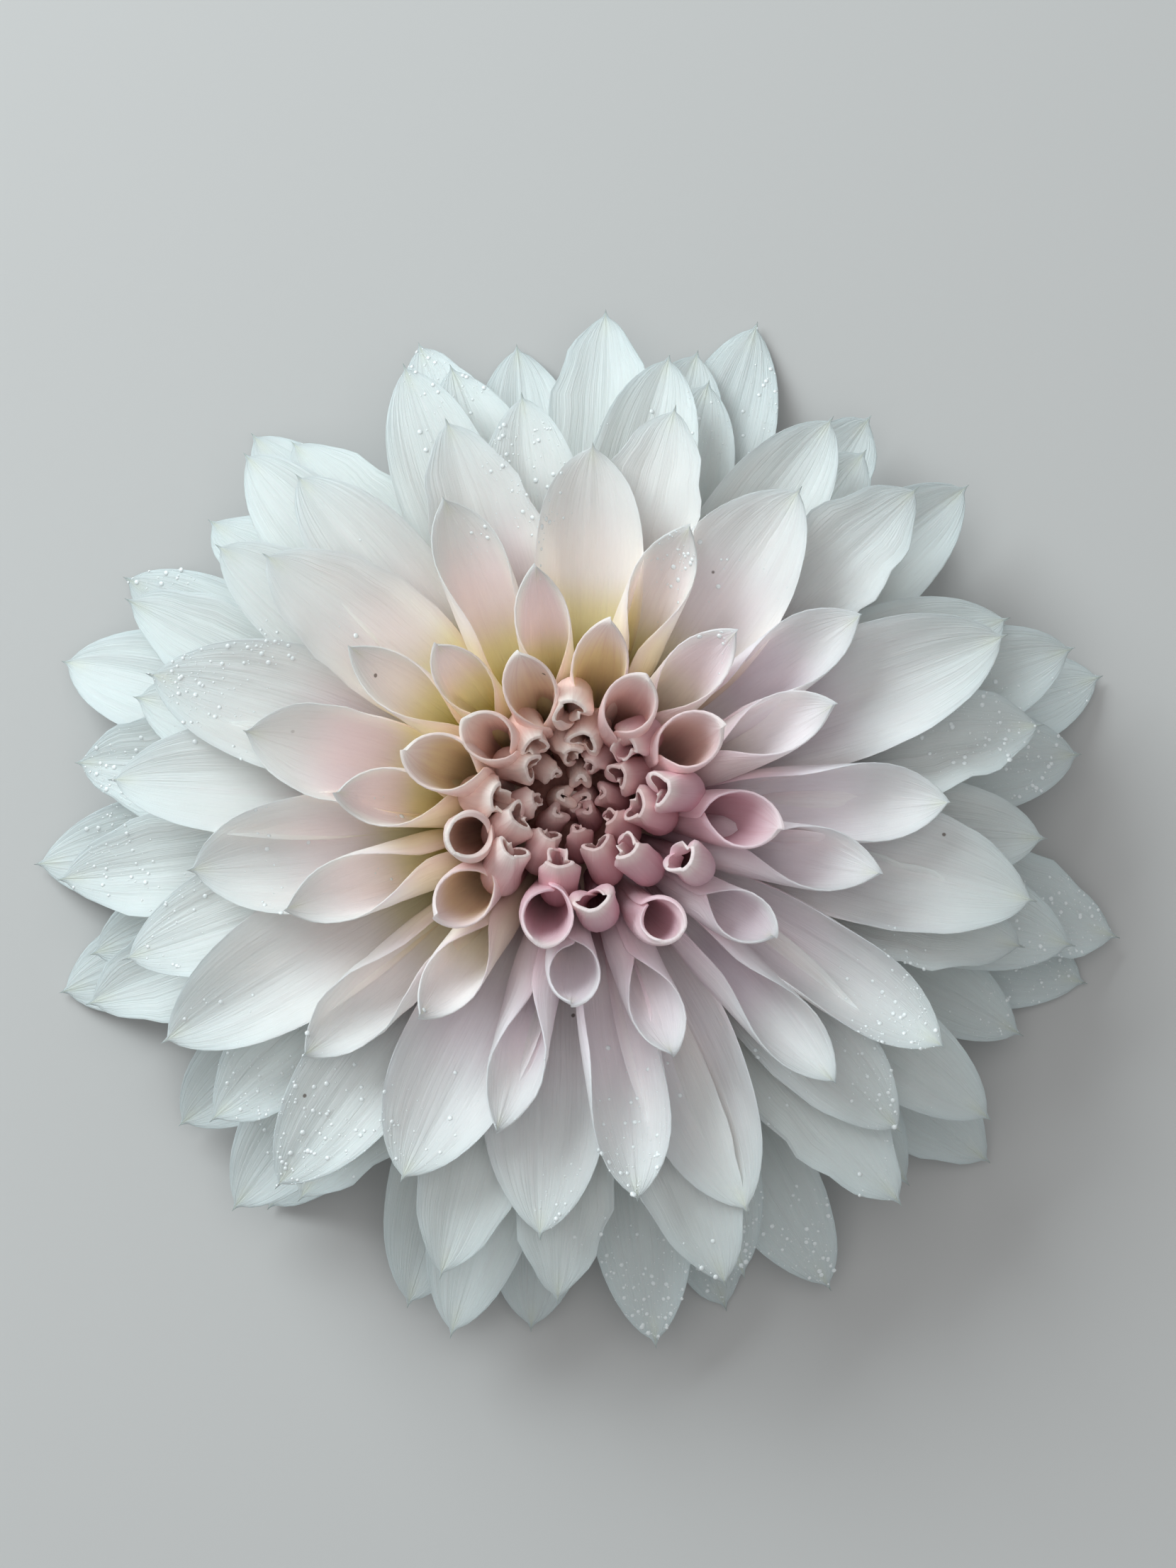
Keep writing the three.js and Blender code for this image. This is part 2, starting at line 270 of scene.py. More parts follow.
def floret_habit(n, size):
    """What sets one floret apart, from its rank: where it is rooted, where its tip is, how
    it leans, how wide it is and how far it has unrolled."""
    # Buds are packed too tightly to stray; further out each turns a few degrees its own way.
    age = n / (FLORETS - 1.0)
    loose = (n / 30.0).least(1.0)
    turned = size("First bearing") + size("Golden angle") * n + 4.0 * spread(n, 2) * loose
    bearing = turned * DEGREE
    share_of_head = ((n + 0.5) / float(FLORETS)).root()

    # The side away from the light stays rolled a little longer.
    lag = 5.0 * (bearing - math.radians(280)).cos() * smooth(20, 40, n)
    lag = lag * (1.0 - smooth(80, 110, n))
    ripe = n - lag + 3.0 * spread(n, 23) * smooth(10, 30, n)
    bud = 1.0 - smooth(*MOUTH_OPENS, ripe)
    rolled = 1.0 - smooth(*TUBE_UNROLLS, ripe)

    # Tips: the buds round the sunken heart, the tubes highest, and the back petals furthest
    # out and drooping to the table.
    bud_reach = 0.9 + 0.37 * n + 4.0 * smooth(25, 32, ripe)
    open_reach = LONGEST_REACH - 15.0 * ((n - 60.0) / -35.0).exp()
    droop = HIGHEST_TIP - 45.0 * ((n - 30.0).most(0.0) / 113.0) ** 1.2
    sunken = HEART_TIP + 0.36 * n - 3.0 * (n / -4.0).exp()
    height = mix(sunken, droop, smooth(24, 44, n))
    reach = mix(bud_reach, open_reach, smooth(26, 75, n)) * (1.0 - 0.0024 * (height - 5.0))
    # The bloom is a little wider than it is long, and shorter on its far side.
    lopsided = 0.028 * (bearing - math.radians(110)).cos() + 0.017 * (1.0 - (2.0 * bearing).cos())

    # Leans in degrees up from level: past 90 a bud's tip bends inwards, a tube leans out, and
    # the back petals droop.
    bud_lean = mix(100.0, 146.0, smooth(0, 10, n)) - 8.0 * smooth(12, 24, n)
    tube_lean = mix(72.0, 46.0, smooth(38, 58, ripe))
    open_lean = 3.0 - 36.0 * age * age
    tip_lean = mix(mix(tube_lean, bud_lean, bud), open_lean, smooth(50, 80, ripe))
    root_lean = 50.0 + 38.0 * (n / -5.0).exp() - 54.0 * age ** 1.6

    # A tube's mouth is cut back along part of it, the further the more it has opened.
    width = 10.4 + 5.4 * smooth(0, 24, n) + 1.6 * smooth(26, 36, ripe)
    width = width + 1.6 * smooth(38, 50, ripe) - 5.4 * smooth(56, 80, ripe)
    wrap = mix(50.0 - 24.0 * age, TUBE_WRAP, rolled ** 0.6) * DEGREE
    mouth = mix(0.80, 0.50, smooth(32, 50, ripe))
    return SimpleNamespace(
        age=age,
        bearing=bearing,
        root_radius=size("Head radius") * share_of_head,
        root_height=HEAD_TOP - HEAD_DROP * share_of_head * share_of_head,
        reach=reach * (1.0 + 0.06 * spread(n, 3) * (n / 60.0).least(1.0) - lopsided),
        height=height + spread(n, 7) * loose,
        root_lean=root_lean * DEGREE,
        tip_lean=(tip_lean + 6.0 * spread(n, 11)) * DEGREE,
        rolled=rolled,
        bud=bud,
        tight=bud * mix(1.0, 0.6, smooth(5, 18, n)),
        wrap=wrap * (1.0 + 0.12 * spread(n, 13) * (1.0 - rolled)),
        width=width * (1.0 + 0.08 * spread(n, 5)),
        shoulder=mix(mix(0.62, mouth, rolled), 0.93, bud),
        twist=math.radians(11) * spread(n, 17) * (1.0 - 0.6 * rolled),
        sway=0.06 * spread(n, 19),
        wave=0.35 * (1.0 - rolled) * (1.0 + spread(n, 29)),
        wave_phase=math.pi * spread(n, 31),
        own=spread(n, 37),
        frayed=smooth(0.1, 0.7, spread(n, 41)) * smooth(0.3, 0.6, age),
        keel=0.17 + 0.09 * spread(n, 43),
    )


def midrib(f, u):
    """Centre line of a floret in its own upright plane, the way it runs, and its span."""
    span = ((f.reach - f.root_radius) ** 2.0 + (f.height - f.root_height) ** 2.0).root()
    pull = (0.36 + 0.14 * f.bud) * span
    x1 = f.root_radius + pull * f.root_lean.cos()
    z1 = f.root_height + pull * f.root_lean.sin()
    x2 = f.reach - pull * f.tip_lean.cos()
    z2 = f.height - pull * f.tip_lean.sin()
    # A cubic curve through four points, with its direction from the steps between them.
    s = 1.0 - u
    c0, c1, c2, c3 = s * s * s, 3.0 * s * s * u, 3.0 * s * u * u, u * u * u
    x = c0 * f.root_radius + c1 * x1 + c2 * x2 + c3 * f.reach
    z = c0 * f.root_height + c1 * z1 + c2 * z2 + c3 * f.height
    d0, d1, d2 = s * s, 2.0 * s * u, u * u
    run = d0 * (x1 - f.root_radius) + d1 * (x2 - x1) + d2 * (f.reach - x2)
    rise = d0 * (z1 - f.root_height) + d1 * (z2 - z1) + d2 * (f.height - z2)
    length = (run * run + rise * rise).root()
    return SimpleNamespace(x=x, z=z, run=run / length, rise=rise / length, span=span)


def tip_share(f, u):
    """How much of the roll is left: all of it up to the shoulder, then cut back to the tip,
    where an open petal keeps a small beak."""
    q = ((u - f.shoulder) / (1.0 - f.shoulder)).most(0.0).least(1.0)
    blunt = 0.8 * f.bud
    rounded = (q / mix(0.95, 1.0, f.rolled)).least(1.0)
    rounding = (1.0 - rounded ** mix(2.2, MOUTH_TAPER, f.rolled)).most(0.0)
    rounding = rounding ** mix(0.72, 1.0, f.rolled)
    beak = 0.07 * (1.0 - f.rolled) * ((1.0 - q) * 9.0).least(1.0)
    return blunt + (1.0 - blunt) * rounding.most(beak)


def roll(f, u, v):
    """Radius and half angle of the roll of a floret round its midrib."""
    swell = ((u / f.shoulder).least(1.0) * (math.pi / 2)).sin() ** mix(1.4, 1.7, f.rolled)
    full = f.width * mix(0.24, 1.0, swell)
    root_wrap = mix(math.radians(80), math.radians(TUBE_WRAP), f.rolled)
    wrapped = mix(root_wrap, f.wrap, smooth(0.02, mix(0.25, 0.55, f.rolled), u))
    flare = 1.0 + 0.1 * f.rolled * (1.0 - f.tight) * smooth(0.5, 0.9, u)
    pinch = 1.0 - 0.42 * f.tight * smooth(0.5, 0.96, u) - 0.34 * f.tight * smooth(0.93, 1.0, u)
    lobes = 1.0 + 0.3 * f.bud * smooth(0.72, 0.96, u) * (v * 3.0 * math.pi + f.own * 3.0).cos()
    return full / (2.0 * wrapped) * pinch * flare * lobes, wrapped


def blade_section(f, u, v, radius, turn):
    """How far the mid surface is across the midrib and up from it, with a rolled floret's
    overlap, a torn margin, the keel's fold, the ridges and the waves of the margin."""
    lapped = radius * (1.0 + 0.11 * f.rolled * v)
    torn = f.frayed * smooth(0.5, 0.75, u)
    across = lapped * turn.sin() * (1.0 + 0.07 * torn * (u * 47.0 + v * 2.0 + f.own * 8.0).sin())
    up = radius - lapped * turn.cos()
    fold = f.keel * smooth(0.3, 0.9, u) * (1.0 - f.rolled)
    fold = fold * turn.absolute() * radius
    ridges = (turn * radius * 1.9 + f.own * 6.0).sin() * smooth(0.15, 0.5, u)
    ridges = ridges * (1.0 - smooth(0.8, 1.0, u)) * (1.0 - f.bud) * 0.10
    lean = turn / f.wrap.most(0.1)
    ripple = (3 * math.pi * u + f.wave_phase + 1.5 * lean).sin()
    return across, up + fold + ridges + f.wave * lean * lean * ripple * smooth(0.25, 0.6, u)


def laid_down(z):
    """The height of a petal that, where it reaches the table, lies down along it."""
    depth = LYING_START - LYING_HEIGHT
    lying = LYING_HEIGHT + depth * ((z - LYING_START) / depth).least(0.0).exp()
    return (z - LYING_START).most(0.0) + lying


def grow_florets_tree():
    tree, given = tree_with("florets in a golden spiral", (
        ("First floret", "Int", 0),
        ("Florets", "Int", 1),
        ("Rows along", "Int", 24),
        ("Rows around", "Int", 32),
        ("Thickness", "Float", PETAL_THICKNESS),
        ("Head radius", "Float", HEAD_RADIUS),
        ("Golden angle", "Float", GOLDEN_ANGLE),
        ("First bearing", "Float", FIRST_BEARING),
        ("Axis X", "Float", 0.0),
        ("Axis Y", "Float", 0.0),
        ("Petal", "Material", None),
    ))

    def size(name):
        return Measure(tree, given[name])

    sheets = numbered_sheets(tree, given["Florets"], size("First floret"),
                             given["Rows along"], given["Rows around"])
    row = recalled(tree, "row")
    f = floret_habit(recalled(tree, "rank"), size)

    # u runs from the root to the tip, with its rows closest together where the tip rounds off,
    # and v from margin to margin.
    base = (row * 2.0).least(1.0)
    end = ((row * 2.0 - 1.0).most(0.0) * (math.pi / 2)).sin()
    u = f.shoulder * base + (1.0 - f.shoulder) * end
    v, plump = round_the_blade(recalled(tree, "lap"))

    # Half the thickness, out from the mid surface; it thins to the root, tip and margins.
    out = size("Thickness") * -0.5 * plump * (1.0 - row ** 24.0).most(0.0).root()
    out = out * (row * 30.0).least(1.0) * (1.0 - 0.6 * (1.0 - f.rolled) * v ** 4.0)

    # The blade's section, twisted and swayed: b is aside from the midrib and h above it, r is
    # out from the bloom's axis and z up from the table.
    line = midrib(f, u)
    radius, wrapped = roll(f, u, v)
    turn = v * wrapped * tip_share(f, u)
    across, up = blade_section(f, u, v, radius, turn)
    out_across = out * turn.sin()
    out_up = out * turn.cos() * -1.0
    twisted = f.twist * u
    ct, st = twisted.cos(), twisted.sin()
    b = across * ct - up * st + f.sway * line.span * u * u
    h = across * st + up * ct
    out_b = out_across * ct - out_up * st
    out_h = out_across * st + out_up * ct
    z = laid_down(line.z + h * line.run) + out_h * line.run
    r = line.x - (h + out_h) * line.rise
    b = b + out_b
    close_blades(tree, sheets, {
        "along": u,
        "across": v,
        "age": f.age,
        "inner_face": plump,
        # The side away from the light, where the materials paint darker tones as shade.
        "cool_side": (f.bearing - math.radians(315)).cos(),
        "own": f.own,
        "out_from_heart": r / BLOOM_RADIUS,
    }, placed(tree, size, f.bearing, r, b, z), given["Petal"])
    return tree


def grown_piece(name, tree, values):
    """Runs a tree on an empty object with its named inputs set, and keeps the plain mesh."""
    piece = bpy.data.objects.new(name, bpy.data.meshes.new(name))
    bpy.context.scene.collection.objects.link(piece)
    maker = piece.modifiers.new("grow", "NODES")
    maker.node_group = tree
    for item in tree.interface.items_tree:
        if item.in_out == "INPUT" and item.name in values:
            maker[item.identifier] = values[item.name]
    ready = piece.evaluated_get(bpy.context.evaluated_depsgraph_get())
    mesh = bpy.data.meshes.new_from_object(ready)
    piece.modifiers.remove(maker)
    piece.data = mesh
    mesh.name = name
    return piece


class Finish:
    """A material's nodes, joined one after another onto its Principled shader."""

    def __init__(self, name):
        self.material = bpy.data.materials.new(name)
        self.material.use_nodes = True
        self.tree = self.material.node_tree
        self.shader = self.tree.nodes["Principled BSDF"]

    def set(self, **values):
        """Plain values of the shader's own inputs; an underscore stands for a space."""
        for name, value in values.items():
            self.shader.inputs[name.replace("_", " ")].default_value = value

    def feed(self, name, socket):
        self.tree.links.new(socket, self.shader.inputs[name])

    def put(self, kind, **values):
        return joined(self.tree, kind, **values)

    def attribute(self, name):
        node = self.tree.nodes.new("ShaderNodeAttribute")
        node.attribute_name = name
        return Measure(self.tree, node.outputs["Fac"])

    def ramp(self, value, stops):
        node = self.tree.nodes.new("ShaderNodeValToRGB")
        node.color_ramp.interpolation = "EASE"
        marks = node.color_ramp.elements
        while len(marks) < len(stops):
            marks.new(0.5)
        for mark, (place, color) in zip(marks, stops):
            mark.position = place
            mark.color = (*color, 1.0)
        self.tree.links.new(value.socket, node.inputs[0])
        return node.outputs["Color"]

    def blend(self, share, first, second):
        node = self.tree.nodes.new("ShaderNodeMix")
        node.data_type = "RGBA"
        if isinstance(share, Measure):
            self.tree.links.new(share.socket, node.inputs[0])
        else:
            node.inputs[0].default_value = share
        for slot, color in ((node.inputs[6], first), (node.inputs[7], second)):
            if isinstance(color, tuple):
                slot.default_value = (*color, 1.0)
            else:
                self.tree.links.new(color, slot)
        return node.outputs[2]


def petal_skin_group():
    """Lengthwise veins, soft puckers and the few dark specks that every petal has."""
    group = bpy.data.node_groups.new("petal veins and puckers", "ShaderNodeTree")
    face = group.interface
    for name, value in (("Along", 0.5), ("Across", 0.0), ("Own", 0.0)):
        face.new_socket(name, in_out="INPUT", socket_type="NodeSocketFloat").default_value = value
    for name in ("Veins", "Specks", "Relief"):
        face.new_socket(name, in_out="OUTPUT", socket_type="NodeSocketFloat")
    given = group.nodes.new("NodeGroupInput").outputs
    along, across, own = (Measure(group, given[k]) for k in ("Along", "Across", "Own"))

    # Veins run along the petal and draw together towards its tip, each petal's in its own way.
    path = joined(group, "ShaderNodeCombineXYZ", X=across * (4.0 - 1.2 * along),
                  Y=along * 0.7, Z=own * 9.0)
    veins = joined(group, "ShaderNodeTexNoise", Vector=path.outputs[0], Scale=3.2, Detail=3.0,
                   Roughness=0.68)
    vein = Measure(group, veins.outputs[0])
    place = group.nodes.new("ShaderNodeTexCoord").outputs["Object"]
    puckers = joined(group, "ShaderNodeTexNoise", Vector=place, Scale=260.0, Detail=1.0)

    # Points lie strewn through the bloom, about 9 mm apart, and half of them leave a speck
    # about half a millimetre across where a petal passes through them.
    spots = joined(group, "ShaderNodeTexVoronoi", Vector=place, Scale=110.0)
    chosen = group.nodes.new("ShaderNodeSeparateColor")
    group.links.new(spots.outputs["Color"], chosen.inputs[0])
    speck = 1.0 - smooth(0.018, 0.034, Measure(group, spots.outputs["Distance"]))
    speck = speck * smooth(0.50, 0.52, Measure(group, chosen.outputs[0]))

    midrib_ridge = (-1.0 * (across * 14.0) ** 2.0).exp() * smooth(0.35, 0.8, along)
    relief = vein * 0.75 + Measure(group, puckers.outputs[0]) * 0.25 + midrib_ridge * 0.25
    result = group.nodes.new("NodeGroupOutput")
    for name, value in (("Veins", vein), ("Specks", speck), ("Relief", relief)):
        group.links.new(value.socket, result.inputs[name])
    return group


petal_skin = petal_skin_group()
SPECK_BROWN = (0.10, 0.06, 0.04)


def petal_finish(name, color, roughness, relief, glow):
    """Soft living petal: colour worked out by the caller, fine relief and light inside."""
    finish = Finish(name)
    skin = finish.tree.nodes.new("ShaderNodeGroup")
    skin.node_tree = petal_skin
    for slot, kept_name in (("Along", "along"), ("Across", "across"), ("Own", "own")):
        finish.tree.links.new(finish.attribute(kept_name).socket, skin.inputs[slot])
    veins = Measure(finish.tree, skin.outputs["Veins"])
    speck = Measure(finish.tree, skin.outputs["Specks"])
    finish.feed("Base Color", finish.blend(speck * 0.8, color(finish, veins), SPECK_BROWN))
    bump = finish.put("ShaderNodeBump", Strength=relief, Distance=0.0004,
                      Height=skin.outputs["Relief"])
    finish.feed("Normal", bump.outputs[0])
    finish.shader.subsurface_method = "BURLEY"
    finish.set(Roughness=roughness, Subsurface_Weight=glow, Subsurface_Scale=0.0025,
               Subsurface_Radius=(1.0, 0.8, 0.7), Specular_IOR_Level=0.35)
    return finish.material


def ray_color(finish, veins):
    """Throats yellow on the side of the bloom towards the light and mauve on the side away from
    it;
    this split is partly the bloom's own colour and partly painted shade, as the tones it picks
    are darker on the far side. A blush low in each cupped petal, partly painted shade, pink on
    the back of the inner petals, and a pale bluish white towards the tips and in the back rows."""
    along, age = finish.attribute("along"), finish.attribute("age")
    away_from_light, own = finish.attribute("cool_side"), finish.attribute("own")
    middle, inner_face = finish.attribute("across").absolute(), finish.attribute("inner_face")
    depth = finish.attribute("out_from_heart") * 0.8 + along * 0.2 + own * 0.02
    # 0 towards the light and 1 away from it: the tones picked by it are darker on the far side,
    #                                         partly painted shade.
    side = smooth(-0.7, 0.6, away_from_light + own * 0.25)
    warm_throat = finish.ramp(depth, (
        (0.24, (0.68, 0.56, 0.12)),
        (0.33, (0.94, 0.85, 0.50)),
        (0.43, (0.96, 0.93, 0.88)),
        (0.57, (0.79, 0.79, 0.78)),
        (0.80, (0.69, 0.745, 0.75)),
    ))
    mauve_throat = finish.ramp(depth, (
        (0.20, (0.66, 0.40, 0.46)),
        (0.31, (0.95, 0.88, 0.90)),
        (0.44, (0.94, 0.92, 0.94)),
        (0.58, (0.76, 0.76, 0.77)),
        (0.80, (0.655, 0.70, 0.70)),
    ))
    inner = finish.blend(side, warm_throat, mauve_throat)

    # Partly painted shade: a dusky blush down the middle of each cupped petal part way out, where
    # the cup is deepest, and partly the petal's own blush.
    blush_and_shade_in_hollow = smooth(0.32, 0.40, depth) * (1.0 - smooth(0.46, 0.60, depth))
    blush_and_shade_in_hollow = blush_and_shade_in_hollow * (1.0 - smooth(0.35, 0.95, middle + veins * 0.4 - 0.2)) * (0.50 + own * 0.35)
    hollow_blush_and_shade = finish.blend(side, (0.87, 0.71, 0.75), (0.78, 0.67, 0.74))
    inner = finish.blend(blush_and_shade_in_hollow, inner, hollow_blush_and_shade)
    near = 1.0 - smooth(0.30, 0.56, depth)
    outside = near * (1.0 - smooth(-0.3, 0.1, inner_face)) * 0.3
    back_blush = finish.blend(side, (0.94, 0.82, 0.79), (0.86, 0.67, 0.74))
    inner = finish.blend(outside, inner, back_blush)
    margin_pink = (0.78, 0.50, 0.60)
    inner = finish.blend(near * smooth(0.78, 1.0, middle) * 0.3, inner, margin_pink)

    white = finish.ramp(depth, (
        (0.10, (0.72, 0.66, 0.40)),
        (0.35, (0.82, 0.80, 0.72)),
        (0.60, (0.75, 0.785, 0.775)),
        (0.90, (0.69, 0.755, 0.76)),
    ))
    back_row = smooth(0.42, 0.72, age + own * 0.03)
    color = finish.blend(back_row, inner, white)
    streak = (veins - 0.45).most(0.0) * 0.9
    vein_pink = (0.70, 0.42, 0.52)
    color = finish.blend(streak, color, finish.blend(0.22, color, vein_pink))
    beak = smooth(0.9, 1.0, along) * (1.0 - smooth(0.0, 0.5, middle)) * 0.4
    beak_green = (0.74, 0.76, 0.56)
    return finish.blend(beak, color, beak_green)


ray_petal = petal_finish("ray petal", ray_color, roughness=0.5, relief=0.75, glow=0.4)
florets_tree = grow_florets_tree()
axis_low, axis_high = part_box("inner_bracts")
axis_x = (axis_low[0] + axis_high[0]) / 2
axis_y = (axis_low[1] + axis_high[1]) / 2


def grown_florets(name, first, past_last, rows_along, rows_around, thickness, petal):
    return grown_piece(name, florets_tree, {
        "First floret": first,
        "Florets": past_last - first,
        "Rows along": rows_along,
        "Rows around": rows_around,
        "Thickness": thickness,
        "Axis X": axis_x,
        "Axis Y": axis_y,
        "Petal": petal,
    })


front_rays = grown_florets("front_ray_florets", FIRST_OPEN, FIRST_BACK_ROW, rows_along=30,
                           rows_around=49, thickness=PETAL_THICKNESS, petal=ray_petal)
back_rays = grown_florets("back_ray_florets", FIRST_BACK_ROW, FLORETS, rows_along=28,
                          rows_around=41, thickness=PETAL_THICKNESS, petal=ray_petal)
for rays in (front_rays, back_rays):
    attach(rays, "root")
    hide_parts("ray_florets")

# Centre florets. The same petals while young: pink, still rolled into open-mouthed tubes and,
# nearer the middle, into closed buds that lean in over the sunken heart of the head.
TUBE_WALL = 0.55


def centre_color(finish, veins):
    """Peach on the side of the bloom towards the light and a darker mauve on the side away from
    it, partly the florets' own colour and partly painted shade. Darker towards each floret's base
    and the younger the floret, partly its own colour and partly painted shade deep between the
    buds of the heart, more so on the side away from the light; with pale rims; the tubes that
    have opened have a yellow or mauve throat."""
    along, age = finish.attribute("along"), finish.attribute("age")
    away_from_light, own = finish.attribute("cool_side"), finish.attribute("own")
    inner_face = finish.attribute("inner_face")
    # 0 towards the light and 1 away from it: the tones picked by it are darker on the far side,
    #                                         partly painted shade.
    side = smooth(-0.7, 0.7, away_from_light + own * 0.3)
    # Both ramps go dark towards the floret's base, down between the buds: partly the floret's own
    # colour, partly painted shade.
    peach = finish.ramp(along, (
        (0.00, (0.34, 0.14, 0.09)),
        (0.50, (0.72, 0.42, 0.36)),
        (0.75, (0.92, 0.67, 0.61)),
        (0.93, (0.95, 0.76, 0.70)),
        (1.00, (0.97, 0.89, 0.83)),
    ))
    mauve = finish.ramp(along, (
        (0.00, (0.24, 0.07, 0.10)),
        (0.55, (0.50, 0.22, 0.28)),
        (0.78, (0.72, 0.42, 0.50)),
        (0.93, (0.77, 0.52, 0.58)),
        (1.00, (0.92, 0.80, 0.79)),
    ))
    color = finish.blend(side, peach, mauve)
    # Partly painted shade: the youngest florets deep in the heart are browned, much more on the
    # side away from the light.
    young_tone_and_shade = (1.0 - smooth(0.05, 0.24, age)) * mix(0.15, 0.62, side)
    heart_brown_and_shade = (0.44, 0.20, 0.18)
    color = finish.blend(young_tone_and_shade, color, heart_brown_and_shade)

    opened = smooth(0.19, 0.30, age)
    pale = finish.blend(side, (0.95, 0.87, 0.84), (0.90, 0.78, 0.82))
    color = finish.blend(opened * 0.62, color, pale)
    throat = opened * smooth(0.0, 0.3, inner_face) * (1.0 - smooth(0.72, 0.96, along))
    throat_tone = finish.blend(side, (0.78, 0.67, 0.26), (0.70, 0.42, 0.49))
    color = finish.blend(throat * 0.8, color, throat_tone)
    vein_rose = (0.62, 0.30, 0.34)
    return finish.blend((veins - 0.45).most(0.0) * 0.8, color, vein_rose)


centre_petal = petal_finish("centre petal", centre_color, roughness=0.5, relief=0.45, glow=0.35)
centre = grown_florets("centre_florets_rolled", 0, FIRST_OPEN, rows_along=30,
                       rows_around=65, thickness=TUBE_WALL, petal=centre_petal)
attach(centre, "root")
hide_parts("centre_florets")

# Dew. Small beads of water that stand in patches on the upper faces of the open petals, where
# the morning left them. They cling to the skin and are rounder the smaller they are.
BEADS_A_SQUARE_METRE = 1.7e6
SMALLEST_BEAD = 0.08 * MM
LARGEST_BEAD = 0.34 * MM
PATCHES_A_METRE = 48.0


def grow_dew_tree():
    tree, given = tree_with("beads of dew", (
        ("Petals", "Object", None),
        ("Seed", "Int", 4),
        ("Beads a square metre", "Float", BEADS_A_SQUARE_METRE),
        ("Smallest", "Float", SMALLEST_BEAD),
        ("Largest", "Float", LARGEST_BEAD),
        ("Water", "Material", None),
    ))
    petals = joined(tree, "GeometryNodeObjectInfo", Object=given["Petals"])
    along = recalled(tree, "along")

    # Wet patches on what faces up, thickest along the margins and at the tips.
    patches = joined(tree, "ShaderNodeTexNoise", Scale=PATCHES_A_METRE, Detail=1.0)
    facing = tree.nodes.new("ShaderNodeSeparateXYZ")
    tree.links.new(tree.nodes.new("GeometryNodeInputNormal").outputs[0], facing.inputs[0])
    wet = smooth(0.52, 0.66, Measure(tree, patches.outputs[0]) + recalled(tree, "own") * 0.05)
    wet = wet * smooth(0.3, 0.6, Measure(tree, facing.outputs["Z"]))
    brim = smooth(0.55, 0.95, recalled(tree, "across").absolute())
    brim = brim.most(smooth(0.7, 0.95, along))
    wet = wet * smooth(0.4, 0.8, along) * (0.12 + 0.88 * brim)
    wet = wet * smooth(0.1, 0.3, recalled(tree, "inner_face"))
    strewn = joined(tree, "GeometryNodeDistributePointsOnFaces",
                    Mesh=petals.outputs["Geometry"], Seed=given["Seed"],
                    Density=wet * Measure(tree, given["Beads a square metre"]))

    # Most beads are among the smallest, and a large one sits flatter.
    draw = joined(tree, "FunctionNodeRandomValue", Seed=given["Seed"])
    lot = Measure(tree, draw.outputs[1])
    width = mix(Measure(tree, given["Smallest"]), Measure(tree, given["Largest"]), lot ** 4.0)
    shape = joined(tree, "ShaderNodeCombineXYZ", X=width, Y=width, Z=width * mix(0.8, 0.5, lot))
    bead = joined(tree, "GeometryNodeMeshUVSphere", Segments=8, Rings=5, Radius=1.0)
    beads = joined(tree, "GeometryNodeInstanceOnPoints", Points=strewn.outputs["Points"],
                   Instance=bead.outputs["Mesh"], Rotation=strewn.outputs["Rotation"],
                   Scale=shape.outputs[0])
    real = joined(tree, "GeometryNodeRealizeInstances", Geometry=beads.outputs["Instances"])
    finish_tree(tree, real.outputs["Geometry"], given["Water"])
    return tree


# The beads are opaque and whitish with a faint glow, to read as sparkles: painted highlight and
# painted glow rather than clear water.
water = Finish("dew water")
water.set(Base_Color=(0.90, 0.94, 0.95, 1), Roughness=0.08, Specular_IOR_Level=0.9,
          Coat_Weight=0.6, Emission_Color=(0.9, 0.97, 1.0, 1), Emission_Strength=0.05)
dew_tree = grow_dew_tree()
for name, petals, seed in (("front_dew", front_rays, 4), ("back_dew", back_rays, 9)):
    dew = grown_piece(name, dew_tree, {"Petals": petals, "Seed": seed, "Water": water.material})
    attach(dew, "root")

# Heart of the head. The solid fleshy dome that all florets are rooted in, with a small disc in
# its middle. Only pink flesh deep between the buds shows, and a little of the dome's edge.
HEAD_OUTLINE = [(9.6, 9.4), (12.4, 10.6), (12.6, 13.6), (11.2, 18.0), (8.2, 20.6)]
DISC_OUTLINE = [(6.4, 14.2), (6.8, 18.0), (6.0, 21.0), (3.2, 22.0), (1.0, 21.6)]


def turned_mesh(name, outline, sides, material):
    """A closed body of revolution about the bloom's axis, outline in mm from bottom to top."""
    work = bmesh.new()
    rings = []
    for radius, level in outline:
        ring = []
        for k in range(sides):
            angle = 2 * math.pi * k / sides
            ring.append(work.verts.new((axis_x + MM * radius * math.cos(angle),
                                        axis_y + MM * radius * math.sin(angle),
                                        MM * level)))
        rings.append(ring)
    for low, high in zip(rings, rings[1:]):
        for k in range(sides):
            step = (k + 1) % sides
            work.faces.new((low[k], low[step], high[step], high[k])).smooth = True
    bottom, top = outline[0][1], outline[-1][1]
    for ring, level, upward in ((rings[0], bottom, False), (rings[-1], top, True)):
        pole = work.verts.new((axis_x, axis_y, MM * level))
        for k in range(sides):
            pair = (ring[k], ring[(k + 1) % sides])
            corners = (*pair, pole) if upward else (*reversed(pair), pole)
            work.faces.new(corners).smooth = True
    mesh = bpy.data.meshes.new(name)
    work.to_mesh(mesh)
    work.free()
    mesh.materials.append(material)
    piece = bpy.data.objects.new(name, mesh)
    bpy.context.scene.collection.objects.link(piece)
    return piece


